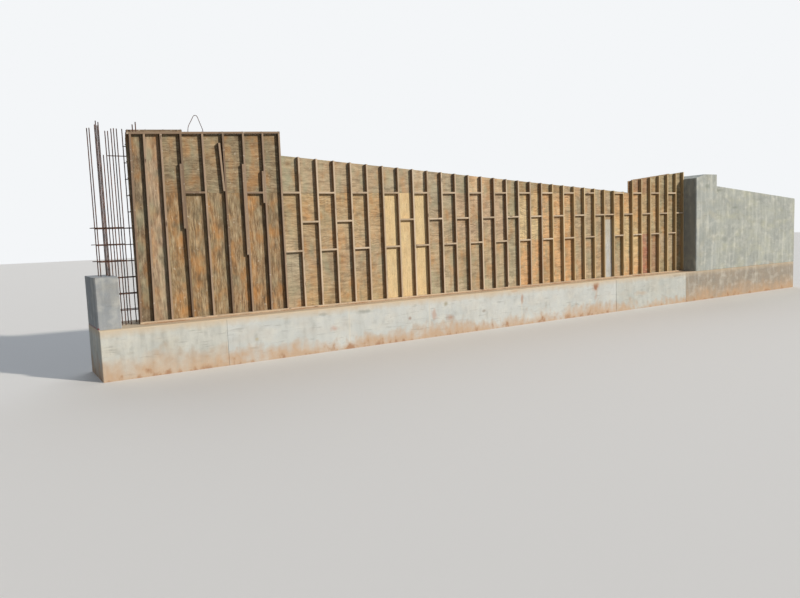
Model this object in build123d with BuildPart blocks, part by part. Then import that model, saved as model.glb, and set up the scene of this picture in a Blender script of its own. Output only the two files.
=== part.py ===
from build123d import *
import math
import os

# A bridge curtain wall under construction: a long cast concrete base, a two-sided
# timber form with its reinforcement standing on it, a stub of wall at the left end
# and a finished pilaster with its wing wall at the right end.
# Millimetres. X runs along the wall to the right, the outer side faces -Y, Z is up,
# and the origin is the centre of the underside.

INCH = 25.4
FOOT = 12 * INCH

# Cast base
BASE_HEIGHT = 3 * FOOT
FRONT_LEDGE = 430
REAR_LEDGE = 320
BASE_CHAMFER = 20
LEFT_POUR_LENGTH = 2260
MIDDLE_POUR_LENGTH = 11165
WING_BASE_LEAD = 500

# Lengths along the wall
END_MARGIN = 770
TALL_BAYS_INCHES = (10, 12.5, 15.5, 16, 15.5, 16, 16, 14)
STUD_SPACING = 16 * INCH
LONG_BAYS = 33
STEP_BAY = 26.8
INNER_STEP_BAY = 28.5
PILASTER_LENGTH = 1060
WING_LENGTH = 4650

# Heights above the top of the base
TALL_TOP_LEFT = 3525
TALL_TOP_RIGHT = 3675
LONG_TOP_LEFT = 3205
LONG_TOP_RIGHT = 2455
STEP_TOP_LEFT = 2790
STEP_TOP_RIGHT = 3090
PILASTER_TOP_LEFT = 2865
PILASTER_TOP_RIGHT = 2985
PILASTER_RISE_LENGTH = 430
WING_TOP_LEFT = 2630
WING_TOP_RIGHT = 2226
STUB_HEIGHT = 930
STUB_LENGTH = 400
STUB_SETBACK = 150

# Thicknesses
WALL_THICKNESS = 16 * INCH
WING_THICKNESS = 450
PILASTER_CHAMFER = 20

# Timber: a two-by-four is 38 x 89, sheets are four feet by eight
BOARD = 38
STUD_DEPTH = 89
SHEET_THICKNESS = 19
SHEET_WIDTH = 4 * FOOT
SHEET_LENGTH = 8 * FOOT
SHEET_GAP = 2
END_STRIP_BAYS = 2
LOWER_SHEET_BAYS = 3
PLATE_LENGTH = 16 * FOOT

# Blocking rows, by bay counted from the tall panel, and their heights
HIGH_BLOCK_BAYS = tuple(range(0, 23, 2)) + (25, 27, 29, 31)
LOW_BLOCK_BAYS = HIGH_BLOCK_BAYS
MIDDLE_BLOCK_BAYS = (1, 3, 7, 9, 11, 13, 15, 17, 19, 21, 23, 24, 26, 28, 30, 32)
MIDDLE_BLOCK_HEIGHT = 6 * FOOT
TALL_BLOCK_BAYS = (3, 6)

# Sheet joints of the long section, by the stud that they lie on
LOWER_JOINTS = (15, 16, 21, 28, 30)
MIDDLE_JOINTS = (15, 16, 22, 25, 30)
TOP_JOINTS = (1, 6, 9, 12, 15, 16, 20, 24)
INNER_JOINTS = (6, 12, 18, 24, 30)
NEW_SHEET_STUDS = (6, 9)
COATED_STRIP_STUDS = (24, 25)
COATED_STRIP_HEIGHT = 1690

# The long section's studs come in three groups, which end at these
LAST_LEFT_STUD = 9
LAST_MIDDLE_STUD = 18

# How far the head of each of the tall panel's studs stands to the right of its foot
TALL_LEANS = (45, 35, 15, -15, -10, 0, 0, 0, 0)

# The inner tall panel: its first bays form a narrow part that stands higher
INNER_SETBACK = 110
INNER_HIGH_BAY = 13 * INCH
INNER_HIGH_BAYS = 3
INNER_HIGH_RISE = 120
INNER_LOW_BAYS = 5

# Boards nailed beside the tall panel's studs: stud number, foot, length and lean
SCABS = ((3, 1757, 1219, 0), (5, 2467, 930, 45), (6, 1200, 1800, 0), (7, 2230, 640, 0))

# Reinforcement
VERTICAL_BAR = 19
HORIZONTAL_BAR = 16
HOOP_BAR = 13
BAR_COVER = 50
BAR_SPACING = 12 * INCH
CLOSE_SPACING = 6 * INCH
PROUD_BAR_PLACE = 205
PROUD_BAR_TOP = 3738
FIRST_LEVEL = 275
LEVEL_SPACING = 12 * INCH
TOP_SHORTFALL = 75
OUTER_LEVELS = (0, 1, 2, 3, 4, 5)
HOOP_LEVELS = (3, 4, 5)
HOOP_LAP = 450
HOOP_BEND = 60
HOOP_END_GAP = 90
TIE_HEIGHT = 3110
TIE_REACH = 315
TIE_LENGTH = 900

# Bars of the cage: distance left of the form and height of the top; the last of each mat
# stands just inside the form
FRONT_CAGE_BARS = (
    (587, 3590), (451, 3640), (431, 3700), (383, 3120),
    (282, 3550), (224, 3595), (130, 3600), (-15, 3440),
)
REAR_CAGE_BARS = ((587, 3630), (451, 3700), (431, 3770), (282, 3595), (130, 3650), (-15, 3645))

# A bent bar in the outer mat: distances right of the form's end and heights of its bends
LOOP_POINTS = ((1161, 2960), (1161, 3690), (1325, 3990), (1451, 3645), (1470, 2960))
LOOP_BENDS = (250, 45, 250)

# Places along the wall
tall_bays = [width * INCH for width in TALL_BAYS_INCHES]
tall_length = sum(tall_bays)
long_length = LONG_BAYS * STUD_SPACING
total_length = END_MARGIN + tall_length + long_length + PILASTER_LENGTH + WING_LENGTH
x_left = -total_length / 2
x_form = x_left + END_MARGIN
x_long = x_form + tall_length
x_step = x_long + STEP_BAY * STUD_SPACING
x_inner_step = x_long + INNER_STEP_BAY * STUD_SPACING
x_wing = x_long + long_length
x_wall = x_wing + PILASTER_LENGTH
x_right = total_length / 2
x_wing_base = x_wing - WING_BASE_LEAD
x_middle_pour = x_left + LEFT_POUR_LENGTH
x_right_pour = x_middle_pour + MIDDLE_POUR_LENGTH
x_stub = x_left + STUB_LENGTH
tall_studs = [x_form + sum(tall_bays[:i]) for i in range(len(tall_bays) + 1)]
x_end_strip = tall_studs[END_STRIP_BAYS]
x_sheet_joint = tall_studs[END_STRIP_BAYS + LOWER_SHEET_BAYS]
x_tall_end = x_long + BOARD
last_long_stud = math.ceil(STEP_BAY) - 1
last_inner_long_stud = math.ceil(INNER_STEP_BAY) - 1
x_inner_panel = x_form + INNER_SETBACK
inner_high_studs = [x_inner_panel + i * INNER_HIGH_BAY for i in range(INNER_HIGH_BAYS + 1)]
inner_low_bay = (x_long - inner_high_studs[-1]) / INNER_LOW_BAYS
inner_low_studs = [x_long - i * inner_low_bay for i in range(INNER_LOW_BAYS)]
x_high_end = inner_high_studs[-1] + BOARD

# Places across the wall
form_side = STUD_DEPTH + SHEET_THICKNESS
base_width = FRONT_LEDGE + 2 * form_side + WALL_THICKNESS + REAR_LEDGE
y_front = -base_width / 2
y_rear = base_width / 2
y_front_studs = y_front + FRONT_LEDGE
y_front_sheets = y_front_studs + STUD_DEPTH
y_cavity_front = y_front_sheets + SHEET_THICKNESS
y_cavity_rear = y_cavity_front + WALL_THICKNESS
y_rear_studs = y_cavity_rear + SHEET_THICKNESS
y_front_bars = y_cavity_front + BAR_COVER + VERTICAL_BAR / 2
y_rear_bars = y_cavity_rear - BAR_COVER - VERTICAL_BAR / 2
bar_step = (VERTICAL_BAR + HORIZONTAL_BAR) / 2

# Heights
z_base = BASE_HEIGHT
z_studs = z_base + BOARD
z_ceiling = z_base + max(TALL_TOP_LEFT, TALL_TOP_RIGHT)
z_low_seam = z_base + SHEET_WIDTH
z_middle_sheets = z_low_seam + SHEET_GAP
z_high_seam = z_base + SHEET_LENGTH
z_top_sheets = z_high_seam + SHEET_GAP
z_highest = z_base + max(LONG_TOP_LEFT, STEP_TOP_LEFT, STEP_TOP_RIGHT)


def tall_top(x):
    """Height of the tall panel's top edge, which rises a little to the right."""
    share = (x - x_form) / (x_tall_end - x_form)
    return z_base + TALL_TOP_LEFT + share * (TALL_TOP_RIGHT - TALL_TOP_LEFT)


def long_top(x):
    """Height of the long section's sloping top edge at x."""
    share = (x - x_long) / (x_step - x_long)
    return z_base + LONG_TOP_LEFT + share * (LONG_TOP_RIGHT - LONG_TOP_LEFT)


def step_top(x):
    """Height of the last panel's top edge, which rises to the pilaster."""
    share = (x - x_step) / (x_wing - x_step)
    return z_base + STEP_TOP_LEFT + share * (STEP_TOP_RIGHT - STEP_TOP_LEFT)


def stud_x(number):
    """Left face of a stud of the long section; the last one stands at the pilaster."""
    return x_long + number * STUD_SPACING - (BOARD if number == LONG_BAYS else 0)


def joint_x(number):
    """Centre line of a stud, where two sheets meet."""
    return stud_x(number) + BOARD / 2


def facing(y):
    """A plane across the wall at y, drawn in X and Z, that extrudes towards +Y with minus."""
    return Plane(origin=(0, y, 0), x_dir=(1, 0, 0), z_dir=(0, -1, 0))


def outline(*points, mode=Mode.ADD):
    """One closed outline at its true place in the sketch that is open."""
    Polygon(*points, align=None, mode=mode)


def rectangle(x_low, x_high, z_low, z_high, mode=Mode.ADD):
    outline((x_low, z_low), (x_high, z_low), (x_high, z_high), (x_low, z_high), mode=mode)


def side_outline(x_rise, mode=Mode.ADD):
    """The whole side of the long section and the last panel, whose top edge steps up at x_rise."""
    outline(
        (x_tall_end, z_base),
        (x_wing, z_base),
        (x_wing, step_top(x_wing)),
        (x_rise, step_top(x_rise)),
        (x_rise, long_top(x_rise)),
        (x_tall_end, long_top(x_tall_end)),
        mode=mode,
    )


def save(piece, name):
    piece.part.label = name
    export_step(piece.part, f"parts/{name}.step")


os.makedirs("parts", exist_ok=True)


# Cast concrete

def cast_base(name, x_low, x_high):
    """One pour of the base, with its long top edges and its end edges chamfered."""
    with BuildPart() as pour:
        with BuildSketch(Plane.YZ.offset(x_low)):
            with BuildLine():
                Polyline(
                    (y_front, 0),
                    (y_rear, 0),
                    (y_rear, z_base - BASE_CHAMFER),
                    (y_rear - BASE_CHAMFER, z_base),
                    (y_front + BASE_CHAMFER, z_base),
                    (y_front, z_base - BASE_CHAMFER),
                    close=True,
                )
            make_face()
        extrude(amount=x_high - x_low)
        uprights = pour.edges().filter_by(Axis.Z)
        chamfer(uprights, BASE_CHAMFER / 2)
    save(pour, name)


cast_base("base_left", x_left, x_middle_pour)
cast_base("base_middle", x_middle_pour, x_right_pour)
cast_base("base_right", x_right_pour, x_wing_base)
cast_base("wing_base", x_wing_base, x_right)

with BuildPart() as end_stub:
    with BuildSketch(facing(y_front + STUB_SETBACK)):
        rectangle(x_left, x_stub, z_base, z_base + STUB_HEIGHT)
    extrude(amount=-(base_width - STUB_SETBACK - BASE_CHAMFER))
    chamfer(end_stub.edges().filter_by(Axis.Z), PILASTER_CHAMFER)
save(end_stub, "end_stub")

with BuildPart() as end_pilaster:
    with BuildSketch(facing(y_front)):
        outline(
            (x_wing, z_base),
            (x_wall, z_base),
            (x_wall, z_base + PILASTER_TOP_RIGHT),
            (x_wing + PILASTER_RISE_LENGTH, z_base + PILASTER_TOP_RIGHT),
            (x_wing, z_base + PILASTER_TOP_LEFT),
        )
    extrude(amount=-base_width)
    front_corners = end_pilaster.edges().filter_by(Axis.Z).group_by(Axis.Y)[0]
    chamfer(front_corners.sort_by(Axis.X)[0], PILASTER_CHAMFER)
save(end_pilaster, "end_pilaster")

with BuildPart() as wing_wall:
    with BuildSketch(facing(y_front)):
        outline(
            (x_wall, z_base),
            (x_right, z_base),
            (x_right, z_base + WING_TOP_RIGHT),
            (x_wall, z_base + WING_TOP_LEFT),
        )
    extrude(amount=-WING_THICKNESS)
    top_edges = wing_wall.faces().sort_by(Axis.Z)[-1].edges()
    chamfer(top_edges.sort_by(Axis.Y)[0], PILASTER_CHAMFER)
save(wing_wall, "wing_wall")


# Timber form. Each side has an outer layer of studs and an inner layer of sheets.

def tall_stud(x_foot, x_head, rise=0):
    """One stud of a tall panel, cut to the underside of a top plate that is raised by rise."""
    outline(
        (x_foot, z_studs),
        (x_foot + BOARD, z_studs),
        (x_head + BOARD, tall_top(x_head + BOARD) + rise - BOARD),
        (x_head, tall_top(x_head) + rise - BOARD),
    )


def tall_edge(stud, z, side=0):
    """X at a height of a tall stud's left edge, or of its right edge if side is its width."""
    x_foot = tall_studs[stud] + side
    x_head = x_foot + TALL_LEANS[stud]
    share = (z - z_studs) / (tall_top(x_head) - BOARD - z_studs)
    return x_foot + share * (x_head - x_foot)


def under_top_edge(x_low, x_high, z_low, rise=0):
    """The part of a tall panel from z_low up to the underside of its top plate."""
    outline(
        (x_low, z_low),
        (x_high, z_low),
        (x_high, tall_top(x_high) + rise - BOARD),
        (x_low, tall_top(x_low) + rise - BOARD),
    )


def top_plate(x_low, x_high, rise=0):
    outline(
        (x_low, tall_top(x_low) + rise - BOARD),
        (x_high, tall_top(x_high) + rise - BOARD),
        (x_high, tall_top(x_high) + rise),
        (x_low, tall_top(x_low) + rise),
    )


def plates_node(name, y_low, x_start):
    """Bottom plates in stock lengths along the foot of the studs."""
    with BuildPart() as plates:
        with BuildSketch(facing(y_low)):
            rectangle(x_start, x_tall_end, z_base, z_studs)
            x = x_tall_end
            while x < x_wing:
                x_end = min(x + PLATE_LENGTH, x_wing)
                rectangle(x + SHEET_GAP, x_end, z_base, z_studs)
                x = x_end
        extrude(amount=-STUD_DEPTH)
    save(plates, name)


def long_studs_node(name, y_low, first, last, x_rise):
    """Studs of the long section from first to last, cut to the top edge."""
    with BuildPart() as studs:
        with BuildSketch(facing(y_low)):
            for number in range(first, last + 1):
                rectangle(stud_x(number), stud_x(number) + BOARD, z_studs, z_highest)
            side_outline(x_rise, mode=Mode.INTERSECT)
        extrude(amount=-STUD_DEPTH)
    save(studs, name)


def blocks_node(name, y_low, bays, height, x_rise):
    """Flat blocks between the studs of some bays, centred on a height."""
    with BuildPart() as blocks:
        with BuildSketch(facing(y_low)):
            for bay in bays:
                z_low = height - BOARD / 2
                rectangle(stud_x(bay) + BOARD, stud_x(bay + 1), z_low, z_low + BOARD)
            side_outline(x_rise, mode=Mode.INTERSECT)
        extrude(amount=-STUD_DEPTH)
    save(blocks, name)


def course_node(name, y_low, x_rise, joints, z_low, z_high, cutouts=()):
    """A course of sheets: the side between two heights, parted at the joints and cutouts."""
    with BuildPart() as course:
        with BuildSketch(facing(y_low)):
            side_outline(x_rise)
            rectangle(x_tall_end + SHEET_GAP, x_wing, z_low, z_high, mode=Mode.INTERSECT)
            for number in joints:
                x = joint_x(number)
                rectangle(x, x + SHEET_GAP, z_low, z_high, mode=Mode.SUBTRACT)
            for cutout in cutouts:
                rectangle(*cutout, mode=Mode.SUBTRACT)
        extrude(amount=-SHEET_THICKNESS)
    save(course, name)


strip_left = joint_x(COATED_STRIP_STUDS[0])
strip_right = joint_x(COATED_STRIP_STUDS[1])
strip_space = (strip_left, strip_right + SHEET_GAP, z_base, z_base + COATED_STRIP_HEIGHT + SHEET_GAP)
new_left = joint_x(NEW_SHEET_STUDS[0])
new_right = joint_x(NEW_SHEET_STUDS[1])
new_space = (new_left, new_right + SHEET_GAP, z_base, z_high_seam)


def right_of(x):
    """The top course from x to the pilaster."""
    return (x, x_wing, z_high_seam, z_highest)


def left_of(x):
    """The top course from the tall panel to x."""
    return (x_tall_end, x + SHEET_GAP, z_high_seam, z_highest)


# Outer side, tall panel
with BuildPart() as front_tall_studs:
    with BuildSketch(facing(y_front_studs)):
        for stud_foot, lean in zip(tall_studs, TALL_LEANS):
            tall_stud(stud_foot, stud_foot + lean)
    extrude(amount=-STUD_DEPTH)
save(front_tall_studs, "front_tall_studs")

with BuildPart() as front_tall_top_plate:
    with BuildSketch(facing(y_front_studs)):
        top_plate(x_form, x_tall_end)
    extrude(amount=-STUD_DEPTH)
save(front_tall_top_plate, "front_tall_top_plate")

scabs_at_seam = [stud for stud, foot, length, lean in SCABS if foot < SHEET_LENGTH < foot + length]

with BuildPart() as front_tall_blocks:
    with BuildSketch(facing(y_front_studs)):
        block_foot = z_high_seam - BOARD / 2
        block_head = z_high_seam + BOARD / 2
        for tall_bay in TALL_BLOCK_BAYS:
            scab = BOARD if tall_bay + 1 in scabs_at_seam else 0
            outline(
                (tall_edge(tall_bay, block_foot, BOARD), block_foot),
                (tall_edge(tall_bay + 1, block_foot) - scab, block_foot),
                (tall_edge(tall_bay + 1, block_head) - scab, block_head),
                (tall_edge(tall_bay, block_head, BOARD), block_head),
            )
    extrude(amount=-STUD_DEPTH)
save(front_tall_blocks, "front_tall_blocks")

with BuildPart() as front_tall_scabs:
    with BuildSketch(facing(y_front_studs)):
        for stud, foot, length, lean in SCABS:
            z_foot = z_base + foot
            z_head = z_foot + length
            x_foot = tall_edge(stud, z_foot)
            x_head = tall_edge(stud, z_head) - lean
            outline(
                (x_foot - BOARD, z_foot),
                (x_foot, z_foot),
                (x_head, z_head),
                (x_head - BOARD, z_head),
            )
    extrude(amount=-STUD_DEPTH)
save(front_tall_scabs, "front_tall_scabs")

with BuildPart() as front_tall_end_sheets:
    with BuildSketch(facing(y_front_sheets)):
        rectangle(x_form, x_end_strip, z_base, z_low_seam)
        under_top_edge(x_form, x_end_strip, z_middle_sheets)
    extrude(amount=-SHEET_THICKNESS)
save(front_tall_end_sheets, "front_tall_end_sheets")

with BuildPart() as front_tall_lower_sheets:
    with BuildSketch(facing(y_front_sheets)):
        rectangle(x_end_strip + SHEET_GAP, x_sheet_joint, z_base, z_high_seam)
        rectangle(x_sheet_joint + SHEET_GAP, x_tall_end, z_base, z_high_seam)
    extrude(amount=-SHEET_THICKNESS)
save(front_tall_lower_sheets, "front_tall_lower_sheets")

with BuildPart() as front_tall_upper_sheet:
    with BuildSketch(facing(y_front_sheets)):
        under_top_edge(x_end_strip + SHEET_GAP, x_tall_end, z_top_sheets)
    extrude(amount=-SHEET_THICKNESS)
save(front_tall_upper_sheet, "front_tall_upper_sheet")

# Outer side, long section and last panel
plates_node("front_bottom_plates", y_front_studs, x_form)
long_studs_node("front_studs_left", y_front_studs, 1, LAST_LEFT_STUD, x_step)
long_studs_node("front_studs_middle", y_front_studs, LAST_LEFT_STUD + 1, LAST_MIDDLE_STUD, x_step)
long_studs_node("front_studs_right", y_front_studs, LAST_MIDDLE_STUD + 1, last_long_stud, x_step)
long_studs_node("front_step_studs", y_front_studs, last_long_stud + 1, LONG_BAYS, x_step)
blocks_node("front_blocks_low", y_front_studs, LOW_BLOCK_BAYS, z_low_seam, x_step)
blocks_node("front_blocks_middle", y_front_studs, MIDDLE_BLOCK_BAYS, z_base + MIDDLE_BLOCK_HEIGHT, x_step)
blocks_node("front_blocks_high", y_front_studs, HIGH_BLOCK_BAYS, z_high_seam, x_step)
outer_course = (y_front_sheets, x_step)
cutouts = (new_space, strip_space)
course_node("front_lower_sheets", *outer_course, LOWER_JOINTS, z_base, z_low_seam, cutouts)
course_node("front_middle_sheets", *outer_course, MIDDLE_JOINTS, z_middle_sheets, z_high_seam, cutouts)
course_node("front_top_sheets", *outer_course, TOP_JOINTS, z_top_sheets, z_highest, (right_of(x_step),))
course_node("front_step_sheet", *outer_course, (), z_top_sheets, z_highest, (left_of(x_step),))

with BuildPart() as front_new_sheet:
    with BuildSketch(facing(y_front_sheets)):
        rectangle(new_left + SHEET_GAP, new_right, z_base, z_high_seam)
    extrude(amount=-SHEET_THICKNESS)
save(front_new_sheet, "front_new_sheet")

with BuildPart() as front_coated_strip:
    with BuildSketch(facing(y_front_sheets)):
        rectangle(strip_left + SHEET_GAP, strip_right, z_base, z_base + COATED_STRIP_HEIGHT)
    extrude(amount=-SHEET_THICKNESS)
save(front_coated_strip, "front_coated_strip")

# Inner side, like frames turned round, with all its sheets laid flat
with BuildPart() as rear_tall_studs:
    with BuildSketch(facing(y_rear_studs)):
        for x_stud in inner_high_studs:
            tall_stud(x_stud, x_stud, INNER_HIGH_RISE)
        for x_stud in inner_low_studs:
            tall_stud(x_stud, x_stud)
    extrude(amount=-STUD_DEPTH)
save(rear_tall_studs, "rear_tall_studs")

with BuildPart() as rear_tall_top_plate:
    with BuildSketch(facing(y_rear_studs)):
        top_plate(x_inner_panel, x_high_end, INNER_HIGH_RISE)
        top_plate(x_high_end, x_tall_end)
    extrude(amount=-STUD_DEPTH)
save(rear_tall_top_plate, "rear_tall_top_plate")

with BuildPart() as rear_tall_sheets:
    with BuildSketch(facing(y_cavity_rear)):
        rectangle(x_inner_panel, x_tall_end, z_base, z_low_seam)
        rectangle(x_inner_panel, x_tall_end, z_middle_sheets, z_high_seam)
        under_top_edge(x_inner_panel, x_high_end, z_top_sheets, INNER_HIGH_RISE)
        under_top_edge(x_high_end + SHEET_GAP, x_tall_end, z_top_sheets)
    extrude(amount=-SHEET_THICKNESS)
save(rear_tall_sheets, "rear_tall_sheets")

plates_node("rear_bottom_plates", y_rear_studs, x_inner_panel)
long_studs_node("rear_long_studs", y_rear_studs, 1, last_inner_long_stud, x_inner_step)
long_studs_node("rear_step_studs", y_rear_studs, last_inner_long_stud + 1, LONG_BAYS, x_inner_step)
blocks_node("rear_blocks", y_rear_studs, HIGH_BLOCK_BAYS, z_high_seam, x_inner_step)
inner_course = (y_cavity_rear, x_inner_step)
course_node("rear_lower_sheets", *inner_course, INNER_JOINTS, z_base, z_low_seam)
course_node("rear_middle_sheets", *inner_course, INNER_JOINTS, z_middle_sheets, z_high_seam)
inner_top = (z_top_sheets, z_highest)
course_node("rear_top_sheets", *inner_course, INNER_JOINTS, *inner_top, (right_of(x_inner_step),))
course_node("rear_step_sheet", *inner_course, (), *inner_top, (left_of(x_inner_step),))


# Reinforcement, eight-sided so that crossing bars seat flat on each other

def bar_section(diameter):
    RegularPolygon(radius=diameter / 2, side_count=8, major_radius=False, rotation=22.5)


def level_z(level):
    return z_base + FIRST_LEVEL + level * LEVEL_SPACING


x_cage = x_form - max(distance for distance, top in FRONT_CAGE_BARS)
x_proud_bar = x_form + PROUD_BAR_PLACE
x_next_bar = x_proud_bar + CLOSE_SPACING
next_count = int((x_wing - BAR_COVER - x_next_bar) // BAR_SPACING) + 1
form_bar_places = [x_next_bar + i * BAR_SPACING for i in range(next_count)]
last_level = int((min(TALL_TOP_LEFT, TALL_TOP_RIGHT) - TOP_SHORTFALL - FIRST_LEVEL) // LEVEL_SPACING)


def cage_foot(x):
    """Bars left of the stub's end stand on the stub, the others on the base."""
    return z_base + STUB_HEIGHT if x - VERTICAL_BAR / 2 < x_stub else z_base


def vertical_bars_node(name, y, x_rise):
    """Upright bars inside the form, a little below its top edge, but for one that stands proud."""
    with BuildPart() as bars:
        with BuildSketch(Plane.XY.offset(z_base)):
            with Locations(*[(x, y) for x in form_bar_places]):
                bar_section(VERTICAL_BAR)
        extrude(amount=z_ceiling - z_base)
        with BuildSketch(facing(y - VERTICAL_BAR)):
            outline(
                (x_form, tall_top(x_form) - TOP_SHORTFALL),
                (x_long, tall_top(x_long) - TOP_SHORTFALL),
                (x_long, long_top(x_long) - TOP_SHORTFALL),
                (x_rise, long_top(x_rise) - TOP_SHORTFALL),
                (x_rise, step_top(x_rise) - TOP_SHORTFALL),
                (x_wing, step_top(x_wing) - TOP_SHORTFALL),
                (x_wing, z_ceiling + TOP_SHORTFALL),
                (x_form, z_ceiling + TOP_SHORTFALL),
            )
        extrude(amount=-2 * VERTICAL_BAR, mode=Mode.SUBTRACT)
        with BuildSketch(Plane.XY.offset(z_base)):
            with Locations((x_proud_bar, y)):
                bar_section(VERTICAL_BAR)
        extrude(amount=PROUD_BAR_TOP)
    save(bars, name)


def cage_bars_node(name, y, cage_bars):
    with BuildPart() as bars:
        for distance, top in cage_bars:
            x = x_form - distance
            with BuildSketch(Plane.XY.offset(cage_foot(x))):
                with Locations((x, y)):
                    bar_section(VERTICAL_BAR)
            extrude(amount=z_base + top - cage_foot(x))
    save(bars, name)


def bar_end(z):
    """Where a level bar at z has to stop under the sloping top edge."""
    x = x_long if z > z_base + LONG_TOP_LEFT - TOP_SHORTFALL else x_wing - BAR_COVER
    if z_base + LONG_TOP_RIGHT - TOP_SHORTFALL < z <= z_base + LONG_TOP_LEFT - TOP_SHORTFALL:
        share = (z_base + LONG_TOP_LEFT - TOP_SHORTFALL - z) / (LONG_TOP_LEFT - LONG_TOP_RIGHT)
        x = x_long + share * (x_step - x_long)
    return x


def level_bars_node(name, y, ties=()):
    """Level bars at even heights, and ties given as left end, right end and height."""
    runs = list(ties)
    for level in range(last_level + 1):
        z = level_z(level)
        x_low = x_form
        if level in OUTER_LEVELS:
            x_low = x_stub if z < z_base + STUB_HEIGHT + HORIZONTAL_BAR else x_cage
        runs.append((x_low, bar_end(z), z))
    with BuildPart() as bars:
        for x_low, x_high, z in runs:
            with BuildSketch(Plane.YZ.offset(x_low)):
                with Locations((y, z)):
                    bar_section(HORIZONTAL_BAR)
            extrude(amount=x_high - x_low)
    save(bars, name)


vertical_bars_node("front_vertical_bars", y_front_bars, x_step)
vertical_bars_node("rear_vertical_bars", y_rear_bars, x_inner_step)
cage_bars_node("front_cage_bars", y_front_bars, FRONT_CAGE_BARS)
cage_bars_node("rear_cage_bars", y_rear_bars, REAR_CAGE_BARS)
y_front_levels = y_front_bars + bar_step
y_rear_levels = y_rear_bars - bar_step
cage_tie = (x_form - TIE_REACH, x_form - TIE_REACH + TIE_LENGTH, z_base + TIE_HEIGHT)
level_bars_node("front_level_bars", y_front_levels, [cage_tie])
level_bars_node("rear_level_bars", y_rear_levels)

# Hoops close the cage's left end, each lying on the level bars of both mats
with BuildPart() as cage_hoops:
    hoop_left = x_cage - HOOP_END_GAP
    for level in HOOP_LEVELS:
        hoop_z = level_z(level) + (HORIZONTAL_BAR + HOOP_BAR) / 2
        hoop_tail = x_cage + HOOP_LAP
        with BuildLine() as hoop_path:
            FilletPolyline(
                (hoop_tail, y_front_levels, hoop_z),
                (hoop_left, y_front_levels, hoop_z),
                (hoop_left, y_rear_levels, hoop_z),
                (hoop_tail, y_rear_levels, hoop_z),
                radius=HOOP_BEND,
            )
        with BuildSketch(Plane(origin=hoop_path.line @ 0, x_dir=(0, 1, 0), z_dir=(-1, 0, 0))):
            bar_section(HOOP_BAR)
        sweep(path=hoop_path.line)
save(cage_hoops, "cage_hoops")

# A bent bar stands above the tall panel in the outer mat
with BuildPart() as bent_bar_loop:
    loop_y = y_front_levels - (HORIZONTAL_BAR + HOOP_BAR) / 2
    with BuildLine() as loop_path:
        bends = [(x_form + place, loop_y, z_base + height) for place, height in LOOP_POINTS]
        FilletPolyline(*bends, radius=LOOP_BENDS)
    with BuildSketch(Plane(origin=loop_path.line @ 0, x_dir=(1, 0, 0), z_dir=(0, 0, 1))):
        bar_section(HOOP_BAR)
    sweep(path=loop_path.line)
save(bent_bar_loop, "bent_bar_loop")
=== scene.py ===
import math
import random

import bmesh
import bpy
from mathutils import Matrix, Vector, noise


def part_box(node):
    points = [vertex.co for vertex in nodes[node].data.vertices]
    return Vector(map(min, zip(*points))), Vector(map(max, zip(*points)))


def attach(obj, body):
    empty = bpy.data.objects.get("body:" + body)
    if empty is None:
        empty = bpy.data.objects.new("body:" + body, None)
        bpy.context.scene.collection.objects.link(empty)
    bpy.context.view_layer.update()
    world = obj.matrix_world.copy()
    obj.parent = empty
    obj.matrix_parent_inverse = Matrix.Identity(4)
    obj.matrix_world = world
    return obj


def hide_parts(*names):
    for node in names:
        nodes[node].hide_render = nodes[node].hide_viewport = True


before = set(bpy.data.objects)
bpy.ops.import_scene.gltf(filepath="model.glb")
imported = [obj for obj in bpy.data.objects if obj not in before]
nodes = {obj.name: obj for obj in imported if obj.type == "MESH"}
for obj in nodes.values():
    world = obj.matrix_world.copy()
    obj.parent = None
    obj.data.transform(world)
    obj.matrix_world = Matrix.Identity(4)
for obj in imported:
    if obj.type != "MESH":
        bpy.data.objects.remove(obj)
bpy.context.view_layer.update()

# Sizes in metres
MM = 0.001
BOARD = 38 * MM
STUD_DEPTH = 89 * MM
STUD_SPACING = 406.4 * MM
STUD_BOW = 2 * MM
EASED_EDGE = 2.5 * MM
PLY = 2.7 * MM

# Axes that boards run along
LEVEL = 0
UPRIGHT = 2

# Places, from the frame
z_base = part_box("base_middle")[1].z
x_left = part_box("base_left")[0].x
x_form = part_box("front_tall_top_plate")[0].x
x_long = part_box("front_tall_top_plate")[1].x - BOARD
x_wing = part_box("end_pilaster")[0].x
x_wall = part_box("end_pilaster")[1].x
y_front_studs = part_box("front_tall_top_plate")[0].y


def stud_line(number):
    """Centre line of a stud of the long section."""
    return x_long + number * STUD_SPACING + BOARD / 2


def linear(colour):
    """An sRGB hex colour as a linear one."""
    channels = [int(colour[i:i + 2], 16) / 255 for i in (1, 3, 5)]
    return [c / 12.92 if c <= 0.04045 else ((c + 0.055) / 1.055) ** 2.4 for c in channels] + [1]


def add(tree, kind, inputs=None, **settings):
    """Adds one node. An input takes a value, a socket, or the node whose first output feeds it."""
    made = tree.nodes.new(kind)
    for name, value in settings.items():
        setattr(made, name, value)
    sockets = [socket for socket in made.inputs if socket.enabled]
    for name, value in (inputs or {}).items():
        socket = sockets[name] if isinstance(name, int) else next(s for s in sockets if s.name == name)
        if isinstance(value, bpy.types.Node):
            value = next(output for output in value.outputs if output.enabled)
        if isinstance(value, bpy.types.NodeSocket):
            tree.links.new(value, socket)
        else:
            socket.default_value = value
    return made


# Finishes

def start_finish(name):
    """A new material, the tree of its nodes and the place on the object."""
    material = bpy.data.materials.new(name)
    material.use_nodes = True
    material.node_tree.nodes.clear()
    place = add(material.node_tree, "ShaderNodeTexCoord").outputs["Object"]
    return material, material.node_tree, place


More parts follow.
